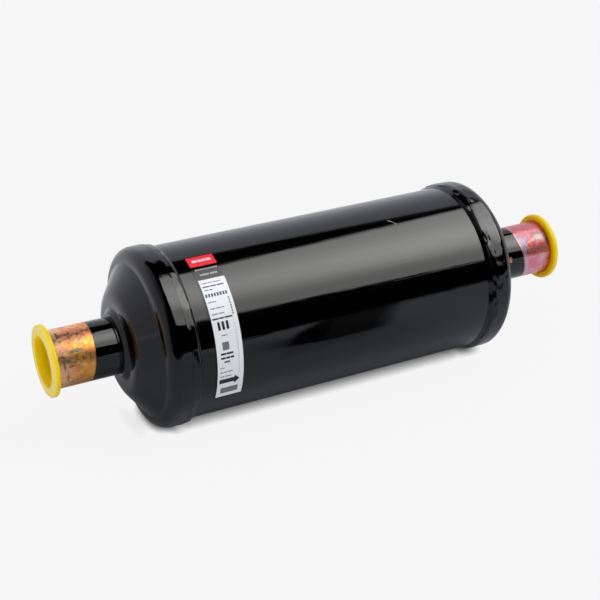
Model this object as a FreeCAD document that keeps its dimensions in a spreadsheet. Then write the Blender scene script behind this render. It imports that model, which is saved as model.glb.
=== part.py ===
"""Hermetic liquid line filter drier, 7/8 in solder connections, millimetres.

The row frame has its origin on the axis, midway between the two ends. +X is the axis, from
the inlet end to the outlet end, and +Z is up. Each end piece is drawn in an end frame of its
own, whose origin is on the axis at the end of the bare shell and whose +X points out of the
drier, so both ends share one set of profiles.
"""
import FreeCAD, Part
import math
import os
import re
import Sketcher

SIZES = [
    ("shell_diameter", 76.2, "outside of the steel shell tube, 3 in"),
    ("shell_wall", 1.5, "sheet of the shell tube"),
    ("bare_shell_length", 140.0, "shell seen between the two girth welds"),
    ("shell_overlap", 4.2, "length of shell inside each cap's skirt"),

    ("cap_wall", 1.7, "sheet of the drawn end caps"),
    ("cap_slip_fit", 0.05, "radial room between a cap's skirt and the shell"),
    ("cap_depth", 14.7, "bare shell's end to the cap's flat annulus"),
    ("cap_shoulder_radius", 5.4, "outside rounding between skirt and annulus"),
    ("cap_annulus_width", 6.25, "skirt's outside to where the annulus turns into the cone"),
    ("cap_cone_foot_rounding", 1.9, "outside rounding at the cone's foot"),
    ("cap_cone_angle", 35.8, "cone against the annulus, degrees"),
    ("cap_face_width", 7.59, "neck's outside to where the face turns into the cone"),
    ("cap_crown_rounding", 10.0, "outside rounding between cone and face"),
    ("neck_height", 1.9, "face to the neck's lip"),
    ("neck_foot_rounding", 1.6, "outside rounding at the neck's foot"),
    ("neck_lip_rounding", 0.7, "outside rounding of the neck's lip"),

    ("girth_weld_width", 5.0, "weld bead along the shell"),
    ("girth_weld_crown", 0.35, "how far the bead swells over a straight line"),
    ("weld_stop_ball", 1.7, "radius of the drop where the outlet weld's run ends"),
    ("weld_stop_height", 0.9, "how far the drop stands out of the cap's skirt"),
    ("weld_stop_inset", 0.3, "edge of the skirt to the middle of the drop"),
    ("weld_stop_angle", 71.6, "the drop's place above the horizontal, degrees"),

    ("connector_diameter", 25.1, "outside of the connector tubes"),
    ("connector_wall", 1.4, "wall round the solder socket"),
    ("connector_stop_wall", 2.7, "wall behind the socket's stop shoulder"),
    ("connector_spigot_step", 0.4, "how far the spigot in the neck is turned down"),
    ("connector_braze_gap", 0.1, "radial room between spigot and neck"),
    ("connector_reach", 28.0, "neck's lip to the connector's mouth"),
    ("connector_tail", 4.0, "connector inside the cap, past its sheet"),
    ("socket_depth", 20.0, "mouth to the stop shoulder"),
    ("mouth_chamfer", 0.4, "chamfer inside the mouth"),
    ("mouth_rounding", 0.35, "outside rounding of the mouth"),
    ("braze_width", 0.8, "braze between the neck's lip and the connector's shoulder"),
    ("braze_height", 0.2, "braze above the spigot"),

    ("plug_flange_overhang", 3.05, "how far the plug's pull flange stands out past the tube"),
    ("plug_flange_thickness", 2.8, "pull flange"),
    ("plug_flange_rounding", 0.9, "outer edges of the pull flange"),
    ("plug_seat_gap", 0.1, "room between flange and connector mouth"),
    ("plug_barrel_length", 13.5, "barrel inside the socket"),
    ("plug_barrel_fit", 0.06, "radial room between barrel and socket at the mouth"),
    ("plug_barrel_taper", 0.45, "how much the barrel's radius falls to its tip"),
    ("plug_tip_rounding", 0.9, "outside rounding of the barrel's tip"),
    ("plug_wall", 1.1, "wall of the plug's barrel"),
    ("plug_floor", 1.3, "closed end of the plug's cup"),
    ("plug_mouth_flare", 1.0, "how much wider the cup is at the flange's face"),

    ("label_width", 12.5, "label along the axis"),
    ("label_arc_length", 69.4, "label round the shell"),
    ("label_thickness", 0.15, "label film"),
    ("label_inset", 5.5, "inlet weld to the label's near edge"),
    ("label_top_angle", 78.0, "label's upper edge above the horizontal, degrees"),

    ("core_room", 3.6, "radial room between the desiccant core and the shell"),
    ("core_bevel", 3.0, "bevel round the core's inlet face"),
    ("core_bore_radius", 8.0, "blind bore at the core's outlet face"),
    ("core_bore_depth", 105.0, "outlet face to the end of the blind bore"),
    ("core_bore_draft", 1.5, "how much the bore's radius falls to its end"),

    ("end_plate_sheet", 1.0, "sheet of the outlet plate"),
    ("end_plate_room", 2.2, "radial room between the outlet plate's rim and the shell"),
    ("end_plate_rim", 7.0, "height of the outlet plate's rim"),
    ("end_plate_dish", 1.6, "how far the outlet plate's middle is set back"),
    ("end_plate_dish_inset", 7.4, "rim's outside to the edge of that middle"),
    ("mat_thickness", 4.0, "polyester mat"),
    ("mat_room", 0.8, "radial room between the mat and the outlet plate's rim"),
    ("screen_thickness", 0.4, "woven wire screen"),
    ("screen_inset", 1.0, "edge of the plate's middle to the edge of the screen"),
    ("gasket_width", 2.4, "felt ring round the mat's face, along the radius"),
    ("gasket_thickness", 1.0, "felt ring, along the axis"),

    ("hole_diameter", 4.0, "holes of the two plates"),
    ("inner_hole_circle", 12.0, "radius of the inner ring of holes"),
    ("outer_hole_inset", 6.0, "edge of the plate's middle to the outer ring of holes"),
    ("inner_hole_count", 6, "holes in the inner ring"),
    ("outer_hole_count", 12, "holes in the outer ring"),

    ("spring_plate_sheet", 1.0, "sheet of the spring plate"),
    ("spring_plate_gap", 0.3, "radial room between spring plate and shell"),
    ("spring_plate_rim", 5.0, "height of the spring plate's rim"),
    ("spring_plate_notch_radius", 5.0, "flow notches in the rim"),
    ("spring_plate_notch_count", 6, "flow notches in the rim"),
    ("spring_wire", 2.4, "wire of the core spring"),
    ("spring_turns", 2.75, "turns of the core spring"),
    ("spring_tail_room", 1.65, "room between the first turn and the connector's tail"),
    ("spring_seat_inset", 12.6, "shell's inside to the middle of the wire at the spring plate"),
    ("spring_length", 20.0, "room between the inlet cap and the spring plate"),
    ("spring_end_gap", 0.05, "room at each end of the spring"),
]
ALIASES = [alias for alias, value, note in SIZES]

# Radii and axial places that several pieces share, in the end frame unless they say otherwise.
SHELL_R = "(shell_diameter / 2)"
SKIRT_IN_R = f"({SHELL_R} + cap_slip_fit)"
SKIRT_R = f"({SKIRT_IN_R} + cap_wall)"
TUBE_R = "(connector_diameter / 2)"
SPIGOT_R = f"({TUBE_R} - connector_spigot_step)"
NECK_IN_R = f"({SPIGOT_R} + connector_braze_gap)"
NECK_R = f"({NECK_IN_R} + cap_wall)"
CONE_FOOT_R = f"({SKIRT_R} - cap_annulus_width)"
FACE_R = f"({NECK_R} + cap_face_width)"
FACE_X = f"(cap_depth + ({CONE_FOOT_R} - {FACE_R}) * tan(cap_cone_angle))"
LIP_X = f"({FACE_X} + neck_height)"
NECK_FOOT_R = f"({NECK_R} + neck_height)"
SKIRT_EDGE_X = "girth_weld_width"
SHELL_END_X = f"({SKIRT_EDGE_X} + shell_overlap)"
SOCKET_R = f"({TUBE_R} - connector_wall)"
STOP_R = f"({TUBE_R} - connector_stop_wall)"
SHOULDER_X = f"({LIP_X} + braze_width)"
MOUTH_X = f"({LIP_X} + connector_reach)"
TAIL_X = f"({FACE_X} - cap_wall - connector_tail)"
FLANGE_BACK_X = f"({MOUTH_X} + plug_seat_gap)"
FLANGE_FACE_X = f"({FLANGE_BACK_X} + plug_flange_thickness)"
BARREL_R = f"({SOCKET_R} - plug_barrel_fit)"
BARREL_TIP_R = f"({BARREL_R} - plug_barrel_taper)"
BARREL_TIP_X = f"({MOUTH_X} - plug_barrel_length)"
CUP_R = f"({BARREL_R} - plug_wall)"
FLANGE_R = f"({TUBE_R} + plug_flange_overhang)"
HALF_BARE = "bare_shell_length / 2"
SHELL_IN_R = f"({SHELL_R} - shell_wall)"
CORE_R = f"({SHELL_IN_R} - core_room)"
END_PLATE_R = f"({SHELL_IN_R} - end_plate_room)"
RIM_IN_R = f"({END_PLATE_R} - end_plate_sheet)"
DISH_R = f"({END_PLATE_R} - end_plate_dish_inset)"
MAT_R = f"({RIM_IN_R} - mat_room)"
SPRING_SMALL_R = f"({SPIGOT_R} + spring_tail_room + spring_wire / 2)"
SPRING_LARGE_R = f"({SHELL_IN_R} - spring_seat_inset)"

# The stack inside, along the row's own axis.
PLATE_SEAT_X = f"({HALF_BARE} + cap_depth - cap_wall)"
PLATE_BACK_X = f"({PLATE_SEAT_X} - end_plate_sheet)"
DISH_BACK_X = f"({PLATE_BACK_X} - end_plate_dish)"
SCREEN_X = f"({DISH_BACK_X} - screen_thickness)"
MAT_X = f"({SCREEN_X} - mat_thickness)"
CORE_OUT_X = f"({MAT_X} - gasket_thickness)"
SPRING_SEAT_X = f"(-{HALF_BARE} - {FACE_X} + cap_wall)"
SPRING_PLATE_X = f"({SPRING_SEAT_X} + spring_length)"
CORE_IN_X = f"({SPRING_PLATE_X} + spring_plate_sheet)"

AXIS = FreeCAD.Vector(1, 0, 0)
UP = FreeCAD.Vector(0, 0, 1)

doc = FreeCAD.newDocument("FilterDrier")
pieces = []


def bound(text):
    """An expression with each size's name turned into a reference to its cell."""
    return re.sub(r"[a-z][a-z_]+", lambda word: cell_name(word.group()), text)


def cell_name(word):
    return "<<Dimensions>>." + word if word in ALIASES else word


def make_sheet():
    sheet = doc.addObject("Spreadsheet::Sheet", "Dimensions")
    for row, (alias, value, note) in enumerate(SIZES, start=1):
        sheet.set(f"A{row}", alias)
        sheet.set(f"B{row}", str(value))
        sheet.set(f"C{row}", note)
        sheet.setAlias(f"B{row}", alias)
    doc.recompute()
    return sheet


def worth(text):
    """The number that an expression of sizes comes to."""
    return float(sheet.evalExpression(bound(text)))


def new_body(name):
    body = doc.addObject("PartDesign::Body", name)
    body.Label = name
    pieces.append(body)
    return body


def origin_feature(body, role):
    return next(item for item in body.Origin.OriginFeatures if item.Role == role)


def new_sketch(body, name, plane):
    sketch = body.newObject("Sketcher::SketchObject", f"{body.Name}_{name}")
    sketch.AttachmentSupport = [(origin_feature(body, plane), "")]
    sketch.MapMode = "FlatFace"
    return sketch


def fix_point(sketch, element, position, across, up):
    """Hold a point of the sketch at two expressions, measured from the sketch's origin."""
    for kind, text in (("DistanceX", across), ("DistanceY", up)):
        constraint = Sketcher.Constraint(kind, -1, 1, element, position, worth(text))
        index = sketch.addConstraint(constraint)
        sketch.setExpression(f"Constraints[{index}]", bound(text))


def fix_radius(sketch, element, text):
    index = sketch.addConstraint(Sketcher.Constraint("Radius", element, worth(text)))
    sketch.setExpression(f"Constraints[{index}]", bound(text))


def corner_arc(before, corner, after, radius):
    """The tangent points and the arc that round a corner of a polygon."""
    towards_before = (before - corner).normalize()
    towards_after = (after - corner).normalize()
    half_angle = towards_before.getAngle(towards_after) / 2
    middle = (towards_before + towards_after).normalize()
    centre = corner + middle * (radius / math.sin(half_angle))
    first = corner + towards_before * (centre - corner).dot(towards_before)
    last = corner + towards_after * (centre - corner).dot(towards_after)
    turn = (corner - before).cross(after - corner).z
    start, end = (first, last) if turn > 0 else (last, first)
    start_angle = angle_about(centre, start)
    end_angle = angle_about(centre, end)
    arc = Part.ArcOfCircle(Part.Circle(centre, UP, radius), start_angle, end_angle)
    return first, last, arc, turn > 0


def angle_about(centre, point):
    spoke = point - centre
    angle = AXIS.getAngle(spoke)
    return angle if spoke.y >= 0 else -angle


def draw_outline(sketch, corners):
    """A closed outline through corners (axial, radial, rounding), each an expression."""
    points = [FreeCAD.Vector(worth(axial), worth(radial), 0) for axial, radial, rounding in corners]
    starts, ends, arcs = [], [], []
    for index, (axial, radial, rounding) in enumerate(corners):
        point = points[index]
        if rounding is None:
            starts.append(point)
            ends.append(point)
            arcs.append(None)
            continue
        before, after = points[index - 1], points[(index + 1) % len(points)]
        first, last, arc, left_turn = corner_arc(before, point, after, worth(rounding))
        ends.append(first)
        starts.append(last)
        arcs.append((arc, left_turn))

    count = len(corners)
    lines = [
        sketch.addGeometry(Part.LineSegment(starts[i], ends[(i + 1) % count]), False)
        for i in range(count)
    ]
    for index, (axial, radial, rounding) in enumerate(corners):
        line_in, line_out = lines[index - 1], lines[index]
        if rounding is None:
            sketch.addConstraint(Sketcher.Constraint("Coincident", line_in, 2, line_out, 1))
            fix_point(sketch, line_out, 1, axial, radial)
            continue
        arc, left_turn = arcs[index]
        arc_geometry = sketch.addGeometry(arc, False)
        first, last = (1, 2) if left_turn else (2, 1)
        sketch.addConstraint(Sketcher.Constraint("Tangent", line_in, 2, arc_geometry, first))
        sketch.addConstraint(Sketcher.Constraint("Tangent", arc_geometry, last, line_out, 1))
        corner = sketch.addGeometry(Part.Point(points[index]), True)
        fix_point(sketch, corner, 1, axial, radial)
        sketch.addConstraint(Sketcher.Constraint("PointOnObject", corner, 1, line_in))
        sketch.addConstraint(Sketcher.Constraint("PointOnObject", corner, 1, line_out))
        fix_radius(sketch, arc_geometry, rounding)


def revolve_outline(body, corners, angle="360"):
    """Turn a closed outline of (axial, radial, rounding) corners about the body's X axis."""
    sketch = new_sketch(body, "Section", "XZ_Plane")
    draw_outline(sketch, corners)
    turned = body.newObject("PartDesign::Revolution", f"{body.Name}_Turned")
    turned.Profile = sketch
    turned.ReferenceAxis = (sketch, ["H_Axis"])
    turned.setExpression("Angle", bound(angle))
    body.Tip = turned
    return turned


def place_at_end(body, end):
    """Set an end piece, drawn in the end frame, on its end of the drier."""
    if end == "inlet":
        body.Placement = FreeCAD.Placement(FreeCAD.Vector(), FreeCAD.Rotation(UP, 180))
    sign = "-" if end == "inlet" else ""
    body.setExpression("Placement.Base.x", bound(f"{sign}{HALF_BARE}"))


def cut_ring_of_holes(body, name, radius, circle, count):
    """A ring of round holes through a plate, along X, from one hole and a polar pattern."""
    sketch = new_sketch(body, name, "YZ_Plane")
    hole = sketch.addGeometry(Part.Circle(FreeCAD.Vector(0, worth(circle), 0), UP, worth(radius)))
    fix_point(sketch, hole, 3, "0", circle)
    fix_radius(sketch, hole, radius)
    pocket = body.newObject("PartDesign::Pocket", f"{body.Name}_{name}_First")
    pocket.Profile = sketch
    pocket.Type = "ThroughAll"
    pocket.Midplane = True
    pattern = body.newObject("PartDesign::PolarPattern", f"{body.Name}_{name}_All")
    pattern.Originals = [pocket]
    pattern.Axis = (sketch, ["N_Axis"])
    pattern.Angle = 360
    pattern.setExpression("Occurrences", bound(count))
    body.Tip = pattern


def make_shell_tube():
    body = new_body("shell_tube")
    half = f"({HALF_BARE} + {SHELL_END_X})"
    revolve_outline(body, [
        (f"-{half}", SHELL_IN_R, None),
        (half, SHELL_IN_R, None),
        (half, SHELL_R, None),
        (f"-{half}", SHELL_R, None),
    ])


def make_end_cap(end):
    """Drawn sheet cap: skirt, shoulder, flat annulus, cone, face and neck, of even wall."""
    sheet_shift = "cap_wall * tan(cap_cone_angle / 2)"
    body = new_body(f"{end}_end_cap")
    revolve_outline(body, [
        (SKIRT_EDGE_X, SKIRT_IN_R, None),
        ("cap_depth - cap_wall", SKIRT_IN_R, "cap_shoulder_radius - cap_wall"),
        ("cap_depth - cap_wall", f"{CONE_FOOT_R} - {sheet_shift}",
         "cap_cone_foot_rounding + cap_wall"),
        (f"{FACE_X} - cap_wall", f"{FACE_R} - {sheet_shift}", "cap_crown_rounding - cap_wall"),
        (f"{FACE_X} - cap_wall", NECK_IN_R, None),
        (LIP_X, NECK_IN_R, None),
        (LIP_X, NECK_R, "neck_lip_rounding"),
        (FACE_X, f"{NECK_FOOT_R}", "neck_foot_rounding"),
        (FACE_X, FACE_R, "cap_crown_rounding"),
        ("cap_depth", CONE_FOOT_R, "cap_cone_foot_rounding"),
        ("cap_depth", SKIRT_R, "cap_shoulder_radius"),
        (SKIRT_EDGE_X, SKIRT_R, None),
    ])
    place_at_end(body, end)


def make_girth_weld(end):
    """Fillet weld that fills the step between the shell and the edge of a cap's skirt."""
    body = new_body(f"{end}_girth_weld")
    revolve_outline(body, [
        ("0", SHELL_R, None),
        (SKIRT_EDGE_X, SHELL_R, None),
        (SKIRT_EDGE_X, SKIRT_R, None),
        ("girth_weld_width / 2", f"({SHELL_R} + {SKIRT_R}) / 2 + girth_weld_crown",
         "girth_weld_width"),
    ])
    place_at_end(body, end)


def make_weld_stop():
    """Drop left on the outlet cap's skirt where the run of its girth weld ends."""
    away = f"({SKIRT_R} + weld_stop_height - weld_stop_ball)"
    ball = doc.addObject("Part::Sphere", "outlet_weld_stop_Ball")
    ball.setExpression("Radius", bound("weld_stop_ball"))
    ball.setExpression("Placement.Base.x", bound(f"{HALF_BARE} + {SKIRT_EDGE_X} + weld_stop_inset"))
    ball.setExpression("Placement.Base.y", bound(f"-{away} * cos(weld_stop_angle)"))
    ball.setExpression("Placement.Base.z", bound(f"{away} * sin(weld_stop_angle)"))

    skirt = doc.addObject("Part::Cylinder", "outlet_weld_stop_Skirt")
    along_axis = FreeCAD.Rotation(FreeCAD.Vector(0, 1, 0), 90)
    skirt.Placement = FreeCAD.Placement(FreeCAD.Vector(), along_axis)
    skirt.setExpression("Radius", bound(SKIRT_R))
    skirt.setExpression("Height", bound(f"{HALF_BARE} + {FACE_X}"))

    stop = doc.addObject("Part::Cut", "outlet_weld_stop")
    stop.Label = "outlet_weld_stop"
    stop.Base = ball
    stop.Tool = skirt
    pieces.append(stop)


def make_connector(end):
    """Turned solder socket with a stop shoulder, its spigot brazed into the neck of its cap."""
    body = new_body(f"{end}_connector")
    revolve_outline(body, [
        (TAIL_X, STOP_R, None),
        (f"{MOUTH_X} - socket_depth", STOP_R, None),
        (f"{MOUTH_X} - socket_depth", SOCKET_R, None),
        (f"{MOUTH_X} - mouth_chamfer", SOCKET_R, None),
        (MOUTH_X, f"{SOCKET_R} + mouth_chamfer", None),
        (MOUTH_X, TUBE_R, "mouth_rounding"),
        (SHOULDER_X, TUBE_R, None),
        (SHOULDER_X, SPIGOT_R, None),
        (TAIL_X, SPIGOT_R, None),
    ])
    place_at_end(body, end)


def make_braze_ring(end):
    """Braze metal in the groove between the neck's lip and the connector's shoulder."""
    body = new_body(f"{end}_braze_ring")
    revolve_outline(body, [
        (LIP_X, SPIGOT_R, None),
        (SHOULDER_X, SPIGOT_R, None),
        (SHOULDER_X, f"{SPIGOT_R} + braze_height", None),
        (LIP_X, f"{SPIGOT_R} + braze_height", None),
    ])
    place_at_end(body, end)


def make_plug(end):
    """Moulded cup plug: a tapered barrel in the socket and a flange to pull it by."""
    floor_x = f"({BARREL_TIP_X} + plug_floor)"
    body = new_body(f"{end}_plug")
    revolve_outline(body, [
        (BARREL_TIP_X, "0", None),
        (BARREL_TIP_X, BARREL_TIP_R, "plug_tip_rounding"),
        (MOUTH_X, BARREL_R, None),
        (FLANGE_BACK_X, BARREL_R, None),
        (FLANGE_BACK_X, FLANGE_R, "plug_flange_rounding"),
        (FLANGE_FACE_X, FLANGE_R, "plug_flange_rounding"),
        (FLANGE_FACE_X, f"{CUP_R} + plug_mouth_flare", None),
        (FLANGE_BACK_X, CUP_R, None),
        (floor_x, f"{BARREL_TIP_R} - plug_wall", None),
        (floor_x, "0", None),
    ])
    place_at_end(body, end)


def make_label():
    """Printed film wrapped part of the way round the shell, near the inlet weld."""
    near_x = f"(-{HALF_BARE} + label_inset)"
    far_x = f"({near_x} + label_width)"
    body = new_body("label")
    revolve_outline(body, [
        (near_x, SHELL_R, None),
        (far_x, SHELL_R, None),
        (far_x, f"{SHELL_R} + label_thickness", None),
        (near_x, f"{SHELL_R} + label_thickness", None),
    ], angle=f"label_arc_length / {SHELL_R} * 180 / pi")
    body.Placement = FreeCAD.Placement(FreeCAD.Vector(), FreeCAD.Rotation(AXIS, 1))
    body.setExpression("Placement.Rotation.Angle", bound("90 - label_top_angle"))


def make_solid_core():
    """Moulded block of desiccant, bevelled at its inlet face, with a blind outlet bore."""
    bore_end_x = f"({CORE_OUT_X} - core_bore_depth)"
    bore_end_r = "(core_bore_radius - core_bore_draft)"
    body = new_body("solid_core")
    revolve_outline(body, [
        (CORE_IN_X, "0", None),
        (bore_end_x, "0", None),
        (bore_end_x, bore_end_r, f"{bore_end_r} * 0.8"),
        (CORE_OUT_X, "core_bore_radius", None),
        (CORE_OUT_X, CORE_R, None),
        (f"{CORE_IN_X} + core_bevel", CORE_R, None),
        (CORE_IN_X, f"{CORE_R} - core_bevel", None),
    ])


def make_core_gasket():
    """Felt ring that keeps refrigerant from passing round the core's outlet face."""
    body = new_body("core_gasket")
    revolve_outline(body, [
        (CORE_OUT_X, f"{MAT_R} - gasket_width", None),
        (MAT_X, f"{MAT_R} - gasket_width", None),
        (MAT_X, MAT_R, None),
        (CORE_OUT_X, MAT_R, None),
    ])


def make_filter_mat():
    body = new_body("filter_mat")
    revolve_outline(body, [
        (MAT_X, "0", None),
        (SCREEN_X, "0", None),
        (SCREEN_X, MAT_R, None),
        (MAT_X, MAT_R, None),
    ])


def make_outlet_screen():
    body = new_body("outlet_screen")
    revolve_outline(body, [
        (SCREEN_X, "0", None),
        (DISH_BACK_X, "0", None),
        (DISH_BACK_X, f"{DISH_R} - screen_inset", None),
        (SCREEN_X, f"{DISH_R} - screen_inset", None),
    ])


def make_outlet_plate():
    """Dished, perforated plate on the outlet cap's annulus, with a rim round the core's end."""
    dish_foot_r = f"({DISH_R} + end_plate_dish)"
    sheet_shift = "end_plate_sheet * tan(45 / 2)"
    body = new_body("outlet_plate")
    revolve_outline(body, [
        (DISH_BACK_X, "0", None),
        (f"{DISH_BACK_X} + end_plate_sheet", "0", None),
        (f"{DISH_BACK_X} + end_plate_sheet", f"{DISH_R} - {sheet_shift}", None),
        (PLATE_SEAT_X, f"{dish_foot_r} - {sheet_shift}", None),
        (PLATE_SEAT_X, END_PLATE_R, None),
        (f"{PLATE_SEAT_X} - end_plate_rim", END_PLATE_R, None),
        (f"{PLATE_SEAT_X} - end_plate_rim", RIM_IN_R, None),
        (PLATE_BACK_X, RIM_IN_R, None),
        (PLATE_BACK_X, dish_foot_r, None),
        (DISH_BACK_X, DISH_R, None),
    ])
    cut_ring_of_holes(body, "Inner", "hole_diameter / 2", "inner_hole_circle", "inner_hole_count")
    cut_ring_of_holes(body, "Outer", "hole_diameter / 2", f"{DISH_R} - outer_hole_inset", "outer_hole_count")


def make_spring_plate():
    """Dished plate that centres the core in the shell and takes the spring's large end."""
    rim_r = f"({SHELL_IN_R} - spring_plate_gap)"
    rim_end_x = f"({SPRING_PLATE_X} + spring_plate_rim)"
    body = new_body("spring_plate")
    revolve_outline(body, [
        (SPRING_PLATE_X, "0", None),
        (CORE_IN_X, "0", None),
        (CORE_IN_X, f"{rim_r} - spring_plate_sheet", None),
        (rim_end_x, f"{rim_r} - spring_plate_sheet", None),
        (rim_end_x, rim_r, None),
        (SPRING_PLATE_X, rim_r, None),
    ])
    cut_ring_of_holes(body, "Notch", "spring_plate_notch_radius", rim_r, "spring_plate_notch_count")
    cut_ring_of_holes(body, "Hole", "hole_diameter / 2", "inner_hole_circle", "inner_hole_count")


def make_core_spring():
    """Conical compression spring, its small end on the inlet cap's face, round the connector."""
    wire_r = "spring_wire / 2"
    first_x = f"({SPRING_SEAT_X} + spring_end_gap + {wire_r})"
    coil_height = "(spring_length - spring_wire - 2 * spring_end_gap)"
    along_axis = FreeCAD.Rotation(FreeCAD.Vector(0, 1, 0), 90)
    across_wire = FreeCAD.Rotation(AXIS, 90)

    coil = doc.addObject("Part::Helix", "core_spring_Coil")
    coil.SegmentLength = 0
    coil.Placement = FreeCAD.Placement(FreeCAD.Vector(), along_axis)
    coil.setExpression("Radius", bound(SPRING_SMALL_R))
    coil.setExpression("Height", bound(coil_height))
    coil.setExpression("Pitch", bound(f"{coil_height} / spring_turns"))
    widening = f"({SPRING_LARGE_R} - {SPRING_SMALL_R}) / {coil_height}"
    coil.setExpression("Angle", bound(f"atan({widening})"))
    coil.setExpression("Placement.Base.x", bound(first_x))

    wire = doc.addObject("Part::RegularPolygon", "core_spring_Wire")
    wire.Polygon = 8
    wire.Placement = FreeCAD.Placement(FreeCAD.Vector(), along_axis * across_wire)
    wire.setExpression("Circumradius", bound(wire_r))
    wire.setExpression("Placement.Base.x", bound(first_x))
    wire.setExpression("Placement.Base.z", bound(f"-{SPRING_SMALL_R}"))
    doc.recompute()

    spring = doc.addObject("Part::Sweep", "core_spring")
    spring.Label = "core_spring"
    spring.Sections = [wire]
    spring.Spine = (coil, ["Edge1"])
    spring.Solid = True
    spring.Frenet = True
    pieces.append(spring)


def check_and_export():
    doc.recompute()
    for item in doc.Objects:
        if "Invalid" in item.State or "Error" in item.State:
            raise RuntimeError(f"{item.Label} did not recompute: {item.State}")
    for piece in pieces:
        shape = piece.Shape
        if shape.isNull() or not shape.isValid() or len(shape.Solids) != 1:
            raise RuntimeError(f"{piece.Label} is not one valid solid")
    os.makedirs("parts", exist_ok=True)
    for piece in pieces:
        piece.Shape.exportStep(f"parts/{piece.Label}.step")
        box = piece.Shape.BoundBox
        print(f"{piece.Label:18s} {piece.Shape.Volume / 1000:9.3f} cm3"
              f"  X {box.XMin:8.2f} {box.XMax:8.2f}  Z {box.ZMin:7.2f} {box.ZMax:7.2f}")


sheet = make_sheet()
make_shell_tube()
for end in ("inlet", "outlet"):
    make_end_cap(end)
    make_girth_weld(end)
    make_connector(end)
    make_braze_ring(end)
    make_plug(end)
make_weld_stop()
make_label()
make_solid_core()
make_core_gasket()
make_filter_mat()
make_outlet_screen()
make_outlet_plate()
make_spring_plate()
make_core_spring()
check_and_export()
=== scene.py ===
"""Look of a hermetic filter drier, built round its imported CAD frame. Metres, axis along X."""
import math

import bmesh
import bpy
from mathutils import Matrix, Vector, noise


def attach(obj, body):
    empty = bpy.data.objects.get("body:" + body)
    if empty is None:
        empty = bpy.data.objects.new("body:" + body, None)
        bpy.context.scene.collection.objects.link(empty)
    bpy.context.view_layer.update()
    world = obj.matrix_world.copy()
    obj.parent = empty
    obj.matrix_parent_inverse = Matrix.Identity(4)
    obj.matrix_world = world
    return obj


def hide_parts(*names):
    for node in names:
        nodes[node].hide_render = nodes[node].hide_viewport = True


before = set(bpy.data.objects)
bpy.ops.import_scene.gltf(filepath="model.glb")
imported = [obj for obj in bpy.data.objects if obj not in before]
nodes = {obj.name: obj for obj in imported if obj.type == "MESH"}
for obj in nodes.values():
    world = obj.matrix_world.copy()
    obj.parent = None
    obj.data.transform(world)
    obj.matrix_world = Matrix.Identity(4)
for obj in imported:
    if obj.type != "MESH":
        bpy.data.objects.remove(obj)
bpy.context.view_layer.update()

MM = 0.001
BODY = "drier"
SEGMENTS = 288
PLUG_SEGMENTS = 192

# The outlines below repeat the frame's own, in millimetres. Places along an end count outward from
# the bare shell's end, which lies END from the middle. Angles round the axis are 0 on the -Y side
# and 90 degrees on top.
END = 70.0
SHELL_R = 38.1
SHELL_WALL = 1.5
SHELL_END_X = 9.2
CAP_WALL = 1.7
SKIRT_R = 39.85
SKIRT_IN_R = SKIRT_R - CAP_WALL
SKIRT_EDGE = 5.0
CAP_DEPTH = 14.7
CONE_FOOT_R = 33.6
CONE_ANGLE = math.radians(35.8)
FACE_X = 23.4
FACE_R = 21.54
LIP_X = 25.3
NECK_R = 13.95
NECK_IN_R = NECK_R - CAP_WALL
NECK_HEIGHT = 1.9
SPIGOT_R = 12.15
BRAZE_HEIGHT = 0.2
TUBE_R = 12.55
SOCKET_R = 11.15
STOP_R = TUBE_R - 2.7
TAIL_X = 17.7
SHOULDER_X = 26.1
MOUTH_X = 53.3
MOUTH_CHAMFER = 0.4
STOP_X = MOUTH_X - 20
FLANGE_BACK_X = 53.4
FLANGE_FACE_X = 56.195
FLANGE_R = 15.6
BARREL_R = SOCKET_R - 0.06
BARREL_TIP_R = BARREL_R - 0.45
BARREL_TIP_X = 39.8
PLUG_WALL = 1.1
PLUG_FLOOR_X = BARREL_TIP_X + 1.3
PLUG_FLARE = 1.0
LABEL_THICKNESS = 0.15

# What differs between the two ends. A weld bead: its toe on the shell, its crest's place and
# radius, and the crest's rounding. A skirt's lumps: seed, broad and fine height. A bead's lumps:
# seed, broad and fine height, how far the bead wanders, and where that starts.
WELD_BEAD = {"inlet": (0.45, 1.7, 39.40, 1.3), "outlet": (0.30, 3.3, 39.62, 1.0)}
SKIRT_LUMPS = {"inlet": (11.0, 0.11, 0.055), "outlet": (47.0, 0.12, 0.085)}
WELD_LUMPS = {"inlet": (23.0, 0.18, 0.08, 0.5, 1.6), "outlet": (71.0, 0.20, 0.12, 1.5, 2.9)}

# The paint on a connector: where it ends, how much that edge leans, the colour of the thin line
# past it, and the chips in it (place, angle, size). The plating past it: metallic, the spread and
# the least of its roughness, and its relief in metres.
PAINT_END = {"inlet": 37.3, "outlet": 38.4}
PAINT_LEAN = {"inlet": 0.104, "outlet": 0.18}
HOT_LINE = {"inlet": (236, 150, 60), "outlet": (196, 124, 108)}
CHIPS = {"inlet": (), "outlet": ((30.4, 15.0, 0.9), (30.6, 9.0, 0.6))}
PLATING = {"inlet": (1.0, 0.24, 0.25, 0.000022), "outlet": (0.8, 0.16, 0.24, 0.00002)}

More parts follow.
